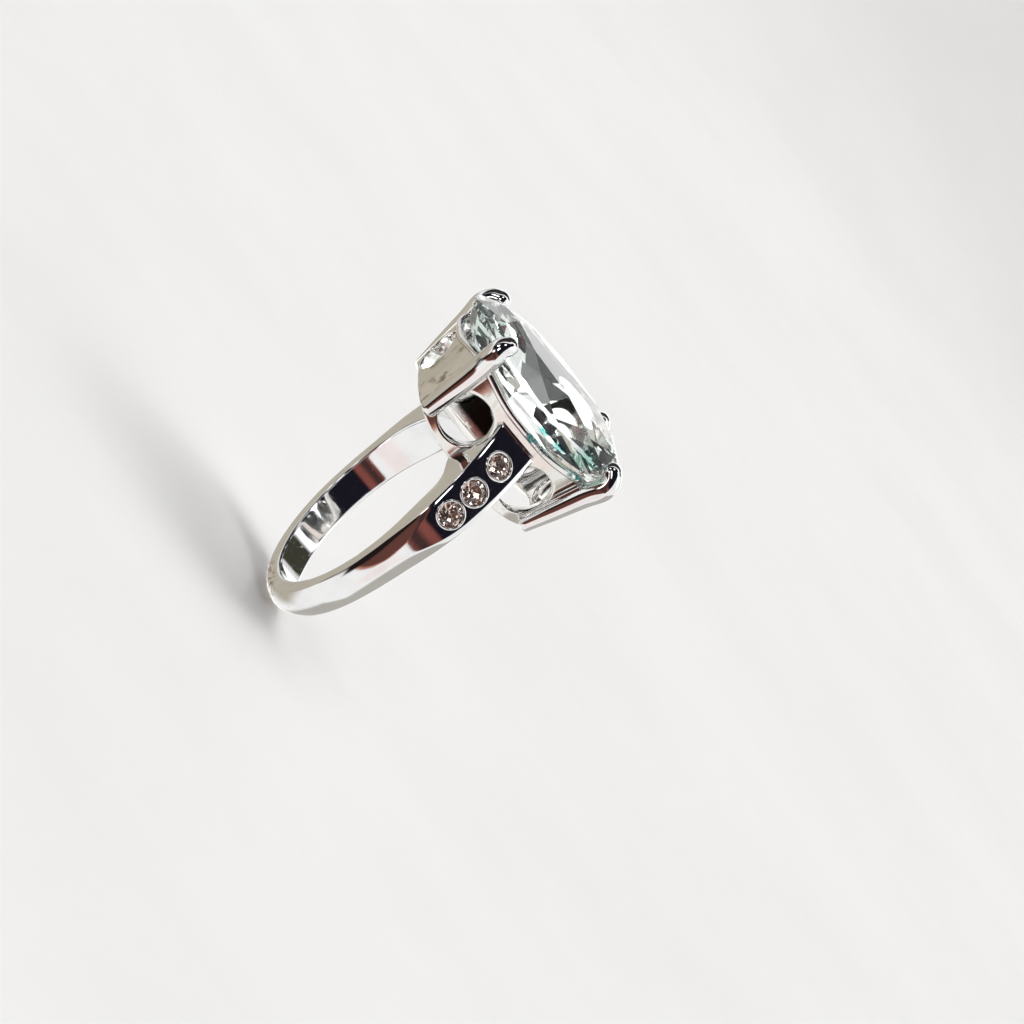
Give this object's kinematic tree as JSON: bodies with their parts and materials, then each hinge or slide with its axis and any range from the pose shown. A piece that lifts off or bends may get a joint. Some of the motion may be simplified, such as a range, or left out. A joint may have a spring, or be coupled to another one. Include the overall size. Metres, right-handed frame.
{
  "type": "cocktail ring",
  "caption": "Cocktail ring with a large clear oval stone in claws over a pierced gallery, on a polished white metal shank with small round stones let into its shoulders.",
  "frame": {"origin": "the middle of the finger hole", "axes": "+Z points from the finger hole to the head and the table of the large stone, Y runs along the finger hole with -Y towards the fingertip, and X runs across the two shoulders"},
  "size_m": [0.0218, 0.018, 0.0283],
  "materials": {
    "shank_metal": "mirror-polished white metal plating, lightly scuffed at the bottom of the shank",
    "gallery_metal": "white metal plating, a little duller and warmer than the shank",
    "rail_metal": "polished white metal plating",
    "claw_metal": "mirror-polished white metal plating",
    "collet_metal": "bright-cut polished rim",
    "center_glass": "clear faceted glass with a faint aqua tint at the thick edges",
    "accent_crystal": "pale champagne faceted crystal"
  },
  "bodies": {
    "root": {"shank": "shank_metal", "gallery": "gallery_metal", "gallery_rail": "rail_metal", "center_stone": "center_glass", "claw_front_right": "claw_metal", "claw_back_right": "claw_metal", "claw_front_left": "claw_metal", "claw_back_left": "claw_metal", "collet_right_upper": "collet_metal", "collet_right_middle": "collet_metal", "collet_right_lower": "collet_metal", "collet_left_upper": "collet_metal", "collet_left_middle": "collet_metal", "collet_left_lower": "collet_metal", "accent_stone_right_upper": "accent_crystal", "accent_stone_right_middle": "accent_crystal", "accent_stone_right_lower": "accent_crystal", "accent_stone_left_upper": "accent_crystal", "accent_stone_left_middle": "accent_crystal", "accent_stone_left_lower": "accent_crystal"}
  },
  "joints": []
}
